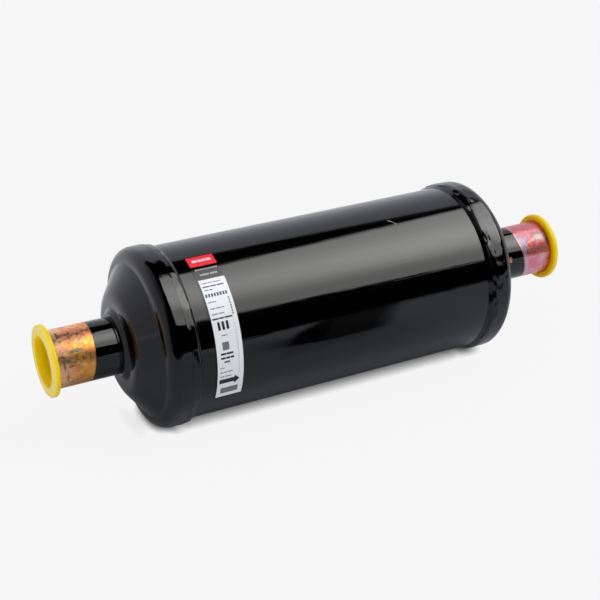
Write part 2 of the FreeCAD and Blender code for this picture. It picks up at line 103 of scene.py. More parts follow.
# Stains on the plating: place, angle, half length and half angle, share, colour.
STAINS = {
    "inlet": ((44.7, 36.5, 2.7, 3.4, 0.80, (124, 138, 134)),
              (42.3, 53.0, 1.0, 4.5, 0.55, (146, 150, 150)),
              (50.5, 10.0, 0.50, 9.0, 0.60, (74, 64, 90)),
              (49.4, -16.0, 0.45, 13.0, 0.60, (74, 64, 90)),
              (47.9, 9.0, 1.2, 3.0, 0.60, (84, 60, 48)),
              (50.4, 78.0, 0.45, 10.0, 0.70, (84, 64, 56))),
    "outlet": ((43.6, 36.0, 2.3, 5.5, 0.90, (255, 104, 84)),
               (49.2, 33.0, 2.0, 4.5, 0.85, (255, 112, 88)),
               (48.0, 51.0, 1.7, 6.0, 0.85, (220, 210, 194)),
               (45.4, 46.0, 1.2, 3.5, 0.75, (216, 206, 190)),
               (39.8, 44.0, 0.9, 10.0, 0.80, (178, 180, 226))),
}

PAINT_BLACK = (0.0006, 0.0006, 0.0007, 1)
DUST_GREY = (0.22, 0.22, 0.22, 1)
PAINT_IOR = 1.5


def rgb(r, g, b):
    """A colour given in screen values, 0 to 255, as the linear one that nodes take."""
    def linear(v):
        v /= 255
        return v / 12.92 if v <= 0.04045 else ((v + 0.055) / 1.055) ** 2.4
    return linear(r), linear(g), linear(b), 1.0


class Nodes:
    """Short calls that add nodes to one tree, a material's or the world's, and link them."""

    def __init__(self, owner, out="ShaderNodeOutputMaterial", place="Object"):
        owner.use_nodes = True
        self.owner = owner
        self.tree = owner.node_tree
        self.tree.nodes.clear()
        self.out = self.add(out)
        self.place = self.add("ShaderNodeTexCoord").outputs[place]

    def add(self, kind, **settings):
        node = self.tree.nodes.new(kind)
        for key, value in settings.items():
            setattr(node, key, value)
        return node

    def put(self, socket, value):
        if isinstance(value, bpy.types.NodeSocket):
            self.tree.links.new(value, socket)
        else:
            socket.default_value = value

    def axes(self):
        split = self.add("ShaderNodeSeparateXYZ")
        self.put(split.inputs[0], self.place)
        return split.outputs

    def math(self, operation, a, b=0.0, c=0.0, clamp=False):
        node = self.add("ShaderNodeMath", operation=operation, use_clamp=clamp)
        for socket, value in zip(node.inputs, (a, b, c)):
            self.put(socket, value)
        return node.outputs[0]

    def times(self, first, *others):
        for other in others:
            first = self.math("MULTIPLY", first, other)
        return first

    def line(self, value, slope, start):
        """start + slope * value."""
        return self.math("MULTIPLY_ADD", value, slope, start)

    def hypot(self, a, b):
        return self.math("SQRT", self.line(a, a, self.times(b, b)))

    def round_axis(self, y, z):
        """The angle round the axis in radians."""
        return self.math("ARCTAN2", z, self.times(y, -1.0))

    def ramp(self, value, low, high):
        """0 below low, 1 above high, smooth between. With low above high it falls instead."""
        node = self.add("ShaderNodeMapRange", interpolation_type="SMOOTHSTEP")
        for socket, given in zip(node.inputs, (value, low, high, 0.0, 1.0)):
            self.put(socket, given)
        return node.outputs[0]

    def ramp_mm(self, value, low, high):
        return self.ramp(value, low * MM, high * MM)

    def ramp_degrees(self, value, low, high):
        return self.ramp(value, math.radians(low), math.radians(high))

    def noise(self, scale, detail=3.0, rough=0.5, stretch=(1, 1, 1), shift=(0, 0, 0), warp=0.0):
        mapping = self.add("ShaderNodeMapping")
        self.put(mapping.inputs["Vector"], self.place)
        mapping.inputs["Scale"].default_value = stretch
        mapping.inputs["Location"].default_value = shift
        node = self.add("ShaderNodeTexNoise")
        self.put(node.inputs["Vector"], mapping.outputs[0])
        node.inputs["Scale"].default_value = scale
        node.inputs["Detail"].default_value = detail
        node.inputs["Roughness"].default_value = rough
        node.inputs["Distortion"].default_value = warp
        return node.outputs["Fac"]

    def mottle(self, low, high, scale, detail, rough, **settings):
        """Ragged patches: 1 where the noise is above high, 0 where it is below low."""
        return self.ramp(self.noise(scale, detail, rough, **settings), low, high)

    def mix(self, factor, a, b):
        node = self.add("ShaderNodeMix", data_type="RGBA")
        self.put(node.inputs["Factor"], factor)
        self.put(node.inputs[6], a)
        self.put(node.inputs[7], b)
        return node.outputs[2]

    def layered(self, base, layers):
        """Lays colours over the base in turn. A layer is a mask, its share and a colour."""
        for mask, share, colour in layers:
            base = self.mix(self.times(mask, share), base, rgb(*colour))
        return base

    def scaled(self, colour, level):
        node = self.add("ShaderNodeVectorMath", operation="SCALE")
        self.put(node.inputs[0], colour)
        self.put(node.inputs["Scale"], level)
        return node.outputs[0]

    def bump(self, height, distance):
        node = self.add("ShaderNodeBump")
        node.inputs["Strength"].default_value = 1.0
        node.inputs["Distance"].default_value = distance
        self.put(node.inputs["Height"], height)
        return node.outputs[0]

    def surface(self, **sockets):
        shader = self.add("ShaderNodeBsdfPrincipled")
        for name, value in sockets.items():
            self.put(shader.inputs[name.replace("_", " ")], value)
        return shader.outputs[0]

    def blend(self, factor, a, b):
        """One shader where the factor is 0, the other where it is 1."""
        node = self.add("ShaderNodeMixShader")
        for socket, value in zip(node.inputs, (factor, a, b)):
            self.put(socket, value)
        return node.outputs[0]

    def finish(self, shader):
        self.put(self.out.inputs["Surface"], shader)
        return self.owner


def material_nodes(name):
    return Nodes(bpy.data.materials.new(name))


def black_paint(name, wave=1.0):
    """Stoved black paint: faint brushed lines along the tube, orange peel, a little dust."""
    n = material_nodes(name)
    peel = n.noise(260, 2.0)
    brushed = n.noise(800, 3.0, 0.65, stretch=(0.02, 1, 1))
    cloudy = n.noise(70, 2.0, 0.5, stretch=(0.5, 1, 1))
    dust = n.add("ShaderNodeTexVoronoi")
    n.put(dust.inputs["Vector"], n.place)
    n.put(dust.inputs["Scale"], 260)
    near = n.ramp(dust.outputs["Distance"], 0.045, 0.02)
    picked = n.math("GREATER_THAN", dust.outputs["Color"], 0.93)
    specks = n.times(near, picked)
    rough = n.line(n.ramp(brushed, 0.35, 0.75), 0.05, 0.045)
    height = n.line(cloudy, 1.6, n.line(peel, 0.5, brushed))
    shader = n.surface(Base_Color=n.mix(specks, PAINT_BLACK, DUST_GREY),
                       Roughness=n.line(specks, 0.5, rough), IOR=PAINT_IOR,
                       Normal=n.bump(height, 0.000022 * wave))
    return n.finish(shader)


def stain(n, out, angle, place, turned, half_long, half_round):
    """1 inside a ragged ellipse on a tube; place and half length in mm, the angles in degrees."""
    long = n.math("DIVIDE", n.math("SUBTRACT", out, place * MM), half_long * MM)
    wide = n.math("DIVIDE", n.math("SUBTRACT", angle, math.radians(turned)),
                  math.radians(half_round))
    ragged = n.line(n.noise(480, 4.0, 0.7), 2.2, -1.1)
    return n.ramp(n.math("ADD", n.hypot(long, wide), ragged), 1.10, 0.85)


def stained(n, end, base, out, angle):
    return n.layered(base, [(stain(n, out, angle, *where), share, colour)
                            for *where, share, colour in STAINS[end]])


def inlet_tint_and_painted_light(n, out, angle):
    """Gold and brown: goldest by the paint, pink on top, a painted highlight towards the mouth."""
    base = n.mix(n.mottle(0.43, 0.57, 260, 5.0, 0.7, warp=0.8), rgb(238, 164, 66),
                 rgb(220, 144, 100))
    gold = n.ramp_mm(out, 44, 38)
    high = n.ramp_degrees(angle, 48, 74)
    # Paler towards the mouth: a painted highlight.
    painted_tip_highlight = n.ramp_mm(out, 45, 52)
    bright = n.mottle(0.52, 0.60, 620, 4.0, 0.8)
    pink = n.mottle(0.55, 0.62, 480, 4.0, 0.8, shift=(3, 1, 2), warp=0.6)
    slate = n.mottle(0.58, 0.63, 170, 4.0, 0.7, shift=(8, 2, 5), warp=0.5)
    dark = n.times(n.mottle(0.56, 0.62, 700, 5.0, 0.85, shift=(7, 4, 1)),
                   n.ramp_degrees(angle, 66, 30))
    streaks = n.times(n.mottle(0.58, 0.62, 300, 5.0, 0.8, stretch=(1.6, 0.7, 0.7),
                               shift=(2, 7, 3), warp=1.5),
                      n.ramp_mm(out, 40, 48), n.ramp_degrees(angle, 34, 16))
    base = n.layered(base, ((gold, 0.55, (238, 166, 44)),
                            (high, 0.75, (226, 134, 116)),
                            (painted_tip_highlight, 0.6, (250, 204, 166)),
                            (bright, 0.75, (255, 224, 132)),
                            (pink, 0.7, (240, 146, 140)),
                            (slate, 0.35, (136, 144, 138)),
                            (dark, 0.45, (120, 74, 44)),
                            (streaks, 0.45, (66, 60, 78))))
    base = stained(n, "inlet", base, out, angle)
    # Painted light: the lower side and the top are scaled brighter by their angle round the axis.
    lower = n.ramp_degrees(angle, 22, 14)
    topmost = n.ramp_degrees(angle, 60, 68)
    return n.scaled(base, n.line(topmost, 0.28, n.line(lower, 0.15, 1.0)))


def outlet_tint_and_painted_light(n, out, angle, past_paint):
    """Pink and lilac: orange and grey patches on the upper side; below them a brown painted
    reflection.
    """
    upper = n.ramp_degrees(angle, 20, 33)
    top = n.ramp_degrees(angle, 60, 73)
    strong = n.line(upper, 0.65, 0.35)
    base = n.mix(n.mottle(0.42, 0.58, 120, 4.0, 0.6, warp=0.5), rgb(226, 160, 176),
                 rgb(228, 132, 148))
    pale = n.times(n.mottle(0.53, 0.57, 190, 4.0, 0.7, shift=(5, 2, 8), warp=0.9), strong)
    lilac = n.mottle(0.54, 0.62, 130, 4.0, 0.6, shift=(9, 3, 1), warp=0.6)
    orange = n.times(n.mottle(0.57, 0.61, 150, 3.0, 0.5, shift=(1, 9, 4), warp=0.2), strong)
    beside = n.ramp_mm(past_paint, 3.4, 0.6)
    blue = n.times(n.mottle(0.56, 0.60, 190, 4.0, 0.6, shift=(4, 4, 9), warp=0.6),
                   n.ramp_mm(out, 44, 40))
    dark = n.mottle(0.55, 0.65, 300, 5.0, 0.7, shift=(2, 4, 1))
    base = n.layered(base, ((pale, 0.8, (216, 204, 190)),
                            (lilac, 0.4, (204, 170, 196)),
                            (orange, 0.85, (255, 118, 104)),
                            (beside, 0.6, (204, 186, 206)),
                            (blue, 0.6, (160, 166, 206)),
                            (dark, 0.3, (146, 88, 90)),
                            (top, 0.7, (250, 124, 134))))
    base = stained(n, "outlet", base, out, angle)
    # Painted reflection: a brown stripe where the dark gap under the softbox is mirrored.
    painted_reflection_band = n.times(n.ramp_degrees(angle, 11, 14), n.ramp_degrees(angle, 30, 26),
                   n.ramp_mm(out, 39.5, 41))
    base = n.layered(base, ((painted_reflection_band, 0.8, (204, 108, 88)),))
    # Painted shade: the upper side, where the highlight falls, is scaled much darker, the top less
    # so.
    return n.scaled(base, n.line(top, 0.38, n.line(upper, -0.70, 1.0)))


def painted_tube(end):
    """Black paint by the cap, and heat-tinted copper plating past its edge, with painted light and
    shade.
    """
    n = material_nodes(f"{end}_connector_copper")
    x, y, z = n.axes()
    out = n.math("SUBTRACT", n.math("ABSOLUTE", x), END * MM)
    angle = n.round_axis(y, z)
    wavy = n.times(n.math("SUBTRACT", n.noise(90, 2.0), 0.5), 0.0007)
    edge = n.math("ADD", n.line(z, PAINT_LEAN[end], out), wavy)
    past_paint = n.math("SUBTRACT", edge, PAINT_END[end] * MM)
    bare = n.ramp_mm(past_paint, -0.12, 0.12)
    if end == "inlet":
        base = inlet_tint_and_painted_light(n, out, angle)
    else:
        base = outlet_tint_and_painted_light(n, out, angle, past_paint)
    hot_line = n.times(bare, n.ramp_mm(past_paint, 0.9, 0.2))
    base = n.layered(base, ((hot_line, 0.7, HOT_LINE[end]),))
    for chip_x, chip_angle, size in CHIPS[end]:
        along = n.math("SUBTRACT", out, chip_x * MM)
        across = n.times(n.math("SUBTRACT", angle, math.radians(chip_angle)), TUBE_R * MM)
        far = n.line(n.noise(900, 2.0), 0.0006, n.hypot(along, across))
        chip = n.ramp_mm(far, size + 0.42, size + 0.30)
        bare = n.math("MAXIMUM", bare, chip)
        base = n.mix(chip, base, rgb(236, 150, 112))
    metallic, spread, least, relief = PLATING[end]
    grain = n.noise(700, 4.0, 0.7)
    metal = n.surface(Base_Color=base, Metallic=metallic,
                      Roughness=n.line(n.ramp(grain, 0.32, 0.68), spread, least),
                      Normal=n.bump(n.math("ADD", grain, n.noise(1600, 3.0, 0.8)), relief))
    paint = n.surface(Base_Color=PAINT_BLACK, Roughness=0.05, IOR=PAINT_IOR,
                      Normal=n.bump(n.noise(900, 2.0), 0.000006))
    return n.finish(n.blend(bare, paint, metal))


def yellow_plastic():
    """Soft moulded plastic: paler on the flange's face, painted shade where the flange meets the
    tube.
    """
    n = material_nodes("yellow_polyethylene")
    cloud = n.noise(120, 3.0)
    flow = n.noise(340, 3.0, 0.6, stretch=(0.4, 1, 1))
    x, y, z = n.axes()
    out = n.math("SUBTRACT", n.math("ABSOLUTE", x), END * MM)
    far = n.hypot(y, z)
    base = n.mix(n.ramp(cloud, 0.35, 0.7), rgb(254, 212, 3), rgb(251, 201, 1))
    face = n.times(n.ramp_mm(out, 54.4, 55.9), n.ramp_mm(far, 10.9, 12.2))
    # Painted shade: a dark amber ring on the flange's back, next to the tube.
    painted_contact_shade = n.times(n.ramp_mm(out, 54.2, 53.4), n.ramp_mm(far, 13.6, 12.9),
                   n.ramp_mm(far, 11.1, 11.4))
    base = n.mix(n.times(face, n.line(flow, 0.5, 0.55)), base, rgb(246, 220, 124))
    base = n.layered(base, ((painted_contact_shade, 0.8, (206, 108, 0)),))
    shader = n.surface(Base_Color=base, Roughness=n.line(flow, 0.14, 0.36), IOR=1.42,
                       Specular_IOR_Level=0.3, Subsurface_Weight=1.0,
                       Subsurface_Radius=(0.9, 0.72, 0.04), Subsurface_Scale=0.004,
                       Normal=n.bump(flow, 0.00003))
    return n.finish(shader)


def label_film():
    """White printed field on clear film over black paint, told apart by the place on the shell."""
    white_top, white_foot, white_side = 57.5, -25.0, -63.775
    n = material_nodes("label_film")
    x, y, z = n.axes()
    angle = n.math("DEGREES", n.round_axis(y, z))
    head = n.ramp(angle, white_top - 0.05, white_top + 0.05)
    foot = n.ramp(angle, white_foot + 0.05, white_foot - 0.05)
    side = n.ramp_mm(x, white_side + 0.025, white_side - 0.025)
    clear = n.math("MAXIMUM", n.math("MAXIMUM", head, foot), side)
    fibre = n.noise(500, 3.0)
    white = n.mix(fibre, rgb(222, 225, 231), rgb(232, 235, 241))
    shader = n.surface(Base_Color=n.mix(clear, white, (0.0012, 0.0012, 0.0013, 1)),
                       Roughness=n.line(clear, -0.20, 0.30), IOR=1.45,
                       Normal=n.bump(fibre, 0.000008))
    return n.finish(shader)


def plain(name, colour, dark, rough=0.5, metallic=0.0, scale=300, grain=0.00003,
          stretch=(1, 1, 1)):
    """A material of two near colours in fine spots, which also give its roughness and bump."""
    n = material_nodes(name)
    spots = n.noise(scale, 4.0, 0.6, stretch=stretch)
    shader = n.surface(Base_Color=n.mix(n.ramp(spots, 0.3, 0.7), colour, dark),
                       Metallic=metallic, Roughness=n.line(spots, 0.2, rough - 0.1),
                       Normal=n.bump(spots, grain))
    return n.finish(shader)


def woven_wire():
    pitch = 0.0008
    n = material_nodes("woven_wire")
    across, along = (n.math("SINE", n.times(axis, 2 * math.pi / pitch)) for axis in n.axes()[1:3])
    height = n.math("MAXIMUM", across, along)
    # Painted shade: dark between the wires, in the gaps of the weave.
    base = n.mix(n.ramp(height, -0.2, 0.6), (0.05, 0.05, 0.05, 1), (0.55, 0.55, 0.56, 1))
    shader = n.surface(Base_Color=base, Metallic=1.0, Roughness=0.35,
                       Normal=n.bump(height, 0.0002))
    return n.finish(shader)


def link(name, data):
    obj = bpy.data.objects.new(name, data)
    bpy.context.scene.collection.objects.link(obj)
    return obj


def rounded(corners, step=math.radians(6)):
    """Draws the arcs of a closed outline of (axial, radial, rounding) corners.

    Each point comes with whether it is a sharp corner.
    """
    points = []
    count = len(corners)
    for i, (x, r, radius) in enumerate(corners):
        here = Vector((x, r))
        if not radius:
            points.append((here, True))
            continue
        before = (Vector(corners[i - 1][:2]) - here).normalized()
        after = (Vector(corners[(i + 1) % count][:2]) - here).normalized()
        turn = math.pi - before.angle(after)
        reach = radius * math.tan(turn / 2)
        first, last = here + before * reach, here + after * reach
        centre = here + (before + after).normalized() * (radius / math.cos(turn / 2))
        start = math.atan2(first.y - centre.y, first.x - centre.x)
        sweep = math.atan2(last.y - centre.y, last.x - centre.x) - start
        sweep = (sweep + math.pi) % (2 * math.pi) - math.pi
        parts = max(2, math.ceil(abs(sweep) / step))
        for k in range(parts + 1):
            a = start + sweep * k / parts
            points.append((centre + radius * Vector((math.cos(a), math.sin(a))), False))
    return points


def divided(points, longest, low, high):
    """Adds points on straight runs whose middle lies between low and high along the axis."""
    result = []
    count = len(points)
    for i, (here, sharp) in enumerate(points):
        result.append((here, sharp))
        there = points[(i + 1) % count][0]
        middle = (here.x + there.x) / 2
        run = (there - here).length
        if low < middle < high and run > longest:
            parts = math.ceil(run / longest)
            result += [(here.lerp(there, k / parts), False) for k in range(1, parts)]
    return result


def mark_sharp_rings(mesh, outline, rings):
    """Marks the edges that run round the axis through a sharp corner of the outline."""
    ring_of = {vert: i for i, ring in enumerate(rings) for vert in ring}
    sharp = {i for i, (point, corner) in enumerate(outline) if corner and len(rings[i]) > 1}
    flags = []
    for edge in mesh.edges:
        first, second = (ring_of[vert] for vert in edge.vertices)
        flags.append(first == second and first in sharp)
    mark = mesh.attributes.new("sharp_edge", "BOOLEAN", "EDGE")
    mark.data.foreach_set("value", flags)


def revolve(name, outline, material, end=None, shape=None, body=BODY, segments=SEGMENTS):
    """A closed mesh of revolution about X from a closed outline, in the end's places."""
    sign = -1 if end == "inlet" else 1
    shift = END if end else 0.0
    verts, faces, rings = [], [], []
    for point, sharp in outline:
        start = len(verts)
        if point.y < 1e-6:
            verts.append((sign * (shift + point.x) * MM, 0, 0))
        else:
            for k in range(segments):
                a = 2 * math.pi * k / segments
                x, r = shape(point.x, point.y, a) if shape else point
                verts.append((sign * (shift + x) * MM, -r * math.cos(a) * MM,
                              r * math.sin(a) * MM))
        rings.append(range(start, len(verts)))
    for i, a in enumerate(rings):
        b = rings[(i + 1) % len(rings)]
        if len(a) == 1 and len(b) == 1:
            continue
        for k in range(segments):
            m = (k + 1) % segments
            if len(a) == 1:
                faces.append((a[0], b[k], b[m]))
            elif len(b) == 1:
                faces.append((a[k], b[0], a[m]))
            else:
                faces.append((a[k], b[k], b[m], a[m]))
    mesh = bpy.data.meshes.new(name)
    mesh.from_pydata(verts, [], faces)
    mesh.shade_smooth()
    mark_sharp_rings(mesh, outline, rings)
    bm = bmesh.new()
    bm.from_mesh(mesh)
    bmesh.ops.recalc_face_normals(bm, faces=bm.faces)
    bm.to_mesh(mesh)
    bm.free()
    mesh.materials.append(material)
    obj = link(name, mesh)
    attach(obj, body)
    return obj


def lumps(x, a, size, seed):
    """Smooth lumps over the drawn skin: x in mm, a the angle round the axis."""
    place = Vector((x / size, math.cos(a) * SKIRT_R / size, math.sin(a) * SKIRT_R / size))
    return noise.noise(place + Vector((seed, 0, 0)))


def window(v, low, high, soft):
    """1 between low and high, fading over soft outside them."""
    near = min(1, max(0, (v - low + soft) / soft))
    far = min(1, max(0, (high + soft - v) / soft))
    return near * near * (3 - 2 * near) * far * far * (3 - 2 * far)


def degrees_round(a):
    """An angle round the axis in degrees, between -180 and 180."""
    return math.degrees((a + math.pi) % (2 * math.pi) - math.pi)


ALL_OUTSIDE = 60.0


def cap_shape(end):
    """The skin of a cap as it came from the press: soft dents in the skirt, rougher in front."""
    seed, broad, fine = SKIRT_LUMPS[end]
    pit_x, pit_angle, pit_depth, pit_spread = 5.4, math.radians(9.2), 0.5, 0.8

    def shape(x, r, a):
        turned = degrees_round(a)
        skirt = window(x, 4.0, 9.5, 4.5) * window(r, 39.2, ALL_OUTSIDE, 1.6)
        if skirt > 0:
            dent = broad * (lumps(x, a, 8.0, seed) + 0.5)
            dent += fine * (lumps(x, a, 3.2, seed + 5) + 0.5)
            rougher = 1.0 + 1.6 * window(turned, 0.0, 34.0, 9.0)
            r -= max(0.0, dent) * skirt * rougher
        if end == "outlet" and r > 33.0:
            # The far shoulder is pressed a little rounder on the side near the viewer.
            pressed = window(turned, -28.0, 8.0, 42.0) * window(x, 14.0, 20.0, 4.5)
            pressed *= window(r, 34.5, ALL_OUTSIDE, 1.5)
            x, r = x - 0.28 * pressed, r - 0.72 * pressed
        if end == "outlet" and r > 39.0:
            along = x - pit_x
            across = (a - pit_angle) * SKIRT_R
            r -= pit_depth * math.exp(-(along * along + across * across) / pit_spread)
        return x, r
    return shape


def weld_shape(end):
    """A bead whose run wanders along the shell and swells and sinks."""
    seed, broad, fine, wander, low = WELD_LUMPS[end]

    def shape(x, r, a):
        if r > SHELL_R + 0.05:
            fade = window(x, low, 4.4, 0.8)
            sway = lumps(0.0, a, 6.0, seed + 7) + 0.4 * lumps(0.0, a, 3.0, seed + 9)
            x += wander * sway * window(x, low, 3.8, 0.8)
            r += fade * (broad * lumps(x, a, 6.0, seed) + fine * lumps(x, a, 2.2, seed + 3))
        return x, min(r, SKIRT_R)
    return shape


paint = black_paint("black_gloss_paint")
weld_paint = black_paint("black_weld_paint", 1.5)
yellow = yellow_plastic()

shell = revolve("shell_painted", rounded([
    (-END - SHELL_END_X, SHELL_R - SHELL_WALL, 0), (END + SHELL_END_X, SHELL_R - SHELL_WALL, 0),
    (END + SHELL_END_X, SHELL_R, 0), (-END - SHELL_END_X, SHELL_R, 0)]), paint)
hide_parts("shell_tube")

for end in ("inlet", "outlet"):
    lean = CAP_WALL * math.tan(CONE_ANGLE / 2)
    cap = revolve(f"{end}_cap_painted", divided(rounded([
        (SKIRT_EDGE, SKIRT_IN_R, 0),
        (CAP_DEPTH - CAP_WALL, SKIRT_IN_R, 3.7),
        (CAP_DEPTH - CAP_WALL, CONE_FOOT_R - lean, 3.6),
        (FACE_X - CAP_WALL, FACE_R - lean, 8.3),
        (FACE_X - CAP_WALL, NECK_IN_R, 0),
        (LIP_X, NECK_IN_R, 0),
        (LIP_X, NECK_R, 0.7),
        (FACE_X, NECK_R + NECK_HEIGHT, 1.6),
        (FACE_X, FACE_R, 10.0),
        (CAP_DEPTH, CONE_FOOT_R, 1.9),
        (CAP_DEPTH, SKIRT_R, 5.4),
        (SKIRT_EDGE, SKIRT_R, 0)], math.radians(5)), 0.8, 4.0, 12.0),
        paint, end, cap_shape(end))
    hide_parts(f"{end}_end_cap")

    toe, crest, crest_r, crest_rounding = WELD_BEAD[end]
    weld = revolve(f"{end}_weld_painted", divided(rounded([
        (0.1, SHELL_R - 0.1, 0),
        (SKIRT_EDGE, SHELL_R - 0.1, 0),
        (SKIRT_EDGE, SKIRT_R, 0),
        (crest, crest_r, crest_rounding),
        (toe, SHELL_R + 0.02, 0.5),
        (0.1, SHELL_R + 0.02, 0)]), 0.4, 0.0, SKIRT_EDGE),
        weld_paint, end, weld_shape(end))
    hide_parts(f"{end}_girth_weld")

    tube = revolve(f"{end}_tube_plated", rounded([
        (TAIL_X, STOP_R, 0),
        (STOP_X, STOP_R, 0),
        (STOP_X, SOCKET_R, 0),
        (MOUTH_X - MOUTH_CHAMFER, SOCKET_R, 0),
        (MOUTH_X, SOCKET_R + MOUTH_CHAMFER, 0),
        (MOUTH_X, TUBE_R, 0.35),
        (SHOULDER_X, TUBE_R, 0.15),
        (SHOULDER_X, SPIGOT_R, 0),
        (TAIL_X, SPIGOT_R, 0)], math.radians(15)), painted_tube(end), end)
    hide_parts(f"{end}_connector")

    ring = revolve(f"{end}_braze_painted", rounded([
        (LIP_X, SPIGOT_R, 0), (SHOULDER_X, SPIGOT_R, 0),
        (SHOULDER_X, SPIGOT_R + BRAZE_HEIGHT, 0), (LIP_X, SPIGOT_R + BRAZE_HEIGHT, 0)]),
        paint, end)
    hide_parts(f"{end}_braze_ring")

    plug = revolve(f"{end}_plug_moulded", rounded([
        (BARREL_TIP_X, 0, 0),
        (BARREL_TIP_X, BARREL_TIP_R, 0.9),
        (MOUTH_X, BARREL_R, 0),
        (FLANGE_BACK_X, BARREL_R, 0),
        (FLANGE_BACK_X, FLANGE_R, 0.9),
        (FLANGE_FACE_X, FLANGE_R, 0.9),
        (FLANGE_FACE_X, BARREL_R - PLUG_WALL + PLUG_FLARE, 0.35),
        (FLANGE_BACK_X, BARREL_R - PLUG_WALL, 1.5),
        (PLUG_FLOOR_X, BARREL_TIP_R - PLUG_WALL, 0.6),
        (PLUG_FLOOR_X, 0, 0)], math.radians(9)),
        yellow, end, body=f"{end}_plug", segments=PLUG_SEGMENTS)
    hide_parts(f"{end}_plug")


class Print:
    """Thin shapes on the shell or its label, given by axial place in mm and angle in degrees."""

    def __init__(self, under=LABEL_THICKNESS):
        self.under = under
        self.verts, self.faces = [], []

    def point(self, x, angle, lift):
        r = (SHELL_R + self.under + lift) * MM
        a = math.radians(angle)
        self.verts.append((x * MM, -r * math.cos(a), r * math.sin(a)))
        return len(self.verts) - 1

    def solid(self, corners):
        """A thin closed plate over a convex run of (x, angle) corners."""
        low = [self.point(x, a, 0.005) for x, a in corners]
        high = [self.point(x, a, 0.035) for x, a in corners]
        count = len(corners)
        self.faces.append(tuple(high))
        self.faces.append(tuple(reversed(low)))
        for k in range(count):
            m = (k + 1) % count
            self.faces.append((low[k], low[m], high[m], high[k]))

    def bar(self, x0, x1, a0, a1):
        """A bar between two places and two angles, cut so that it follows the shell."""
        parts = max(1, math.ceil(abs(a1 - a0) / 2.0))
        for k in range(parts):
            b0 = a0 + (a1 - a0) * k / parts
            b1 = a0 + (a1 - a0) * (k + 1) / parts
            self.solid([(x0, b0), (x1, b0), (x1, b1), (x0, b1)])

    def row(self, x0, x1, angle, height, shares):
        """A row of plain dashes; shares gives the lengths of dash and gap in turn."""
        half = height / 2 * math.degrees(1 / SHELL_R)
        total = sum(shares)
        x = x0
        for k, share in enumerate(shares):
            wide = (x1 - x0) * share / total
            if k % 2 == 0:
                self.bar(x, x + wide, angle - half, angle + half)
            x += wide

    def arrow_head(self, x, low, high, reach, slices=8):
        """A triangle that points along +X, in slices that follow the shell."""
        middle, half = (low + high) / 2, (high - low) / 2
        for k in range(slices):
            a0 = low + (high - low) * k / slices
            a1 = a0 + (high - low) / slices
            x0, x1 = (x + reach * (1 - abs((a - middle) / half)) for a in (a0, a1))
            self.solid([(x, a0), (x0, a0), (x1, a1), (x, a1)])

    def done(self, name, ink_name, colour):
        mesh = bpy.data.meshes.new(name)
        mesh.from_pydata(self.verts, [], self.faces)
        mesh.materials.append(plain(ink_name, rgb(*colour), rgb(*(0.9 * v for v in colour)),
                                    0.35, scale=400, grain=0.000004))
        obj = link(name, mesh)
        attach(obj, BODY)


# The print: name, ink, colour, rows of dashes (ends in mm, angle, height in mm, shares) and bars
# (ends in mm, lower and upper angle).
PRINTS = (
    ("label_red_field", "label_red", (252, 24, 56), (), ((-64.3, -52.2, 68.3, 77.2),)),
    ("label_pale_marks", "label_pale_ink", (196, 190, 194),
     ((-62.9, -53.2, 65.4, 0.75, (1, 0.7) * 9 + (1,)),
      (-61.9, -54.2, 61.2, 0.85, (1, 0.45) * 5 + (1, 1.4) + (1, 0.45) * 4 + (1,))),
     [(-54.15, -53.80, -7.0 + 1.9 * k, -5.9 + 1.9 * k) for k in range(18)]),
    ("label_white_marks", "label_white_ink", (244, 238, 240),
     ((-62.4, -53.8, 73.0, 1.6, (3, 0.45, 2, 0.35, 2, 0.35, 3)),), ()),
    ("label_grey_marks", "label_grey_ink", (120, 122, 130),
     ((-62.9, -54.6, 54.8, 0.40, (3, 0.5, 2, 0.5, 4)),
      (-62.9, -59.2, 49.9, 0.50, (3, 0.5, 2)),
      (-62.9, -59.4, 41.8, 0.45, (3, 0.5, 3)),
      (-62.8, -56.6, 37.6, 0.45, (4, 0.5, 4, 0.5, 2)),
      (-62.8, -57.4, 34.0, 0.45, (3, 0.5, 3)),
      (-60.6, -57.8, 20.2, 0.40, (1, 0.1)),
      (-62.8, -60.8, -1.0, 0.40, (1, 0.3, 1)),
      (-62.8, -57.0, -4.2, 0.45, (2, 0.4, 2, 0.4, 3)),
      (-62.8, -57.6, -7.4, 0.45, (2, 0.4, 3))),
     [(-60.9, -57.9, 10.8, 16.0)]
     + [(-53.9, -53.2, 32.0 + 1.7 * k, 33.2 + 1.7 * k) for k in range(7)]),
    ("label_black_marks", "label_black_ink", (18, 18, 22),
     ((-63.0, -53.6, 52.3, 0.55, (5, 0.5, 4, 0.5, 5)),
      (-63.2, -54.2, 31.0, 0.65, (4, 0.4, 3, 0.4, 5)),
      (-62.0, -56.4, 8.4, 0.85, (3, 0.3, 4)),
      (-62.1, -56.2, 5.6, 0.85, (4, 0.5, 3, 0.5, 3)),
      (-60.6, -58.2, 2.9, 0.75, (2, 0.3, 2))),
     [(-63.2 + 1.27 * k, -62.35 + 1.27 * k, 45.2, 47.4) for k in range(8)]
     + [(x, x + 1.1, 23.6, 28.9) for x in (-61.5, -59.6, -57.7)]
     + [(-62.9, -56.1, -12.8, -9.5)]),
    ("label_grey_patch", "label_patch_ink", (120, 116, 106), (), ((-61.8, -54.4, -21.2, -17.2),)),
    ("label_patch_edge", "label_patch_edge_ink", (78, 74, 70), (),
     ((-62.0, -54.2, -21.6, -21.2), (-62.0, -54.2, -17.2, -16.8),
      (-62.0, -61.8, -21.2, -17.2), (-54.4, -54.2, -21.2, -17.2))),
)
for name, ink_name, colour, rows, bars in PRINTS:
    sheet = Print()
    for dashes in rows:
        sheet.row(*dashes)
    for limits in bars:
        sheet.bar(*limits)
    if name == "label_black_marks":
        sheet.arrow_head(-56.1, -14.6, -7.8, 2.3)
    sheet.done(name, ink_name, colour)

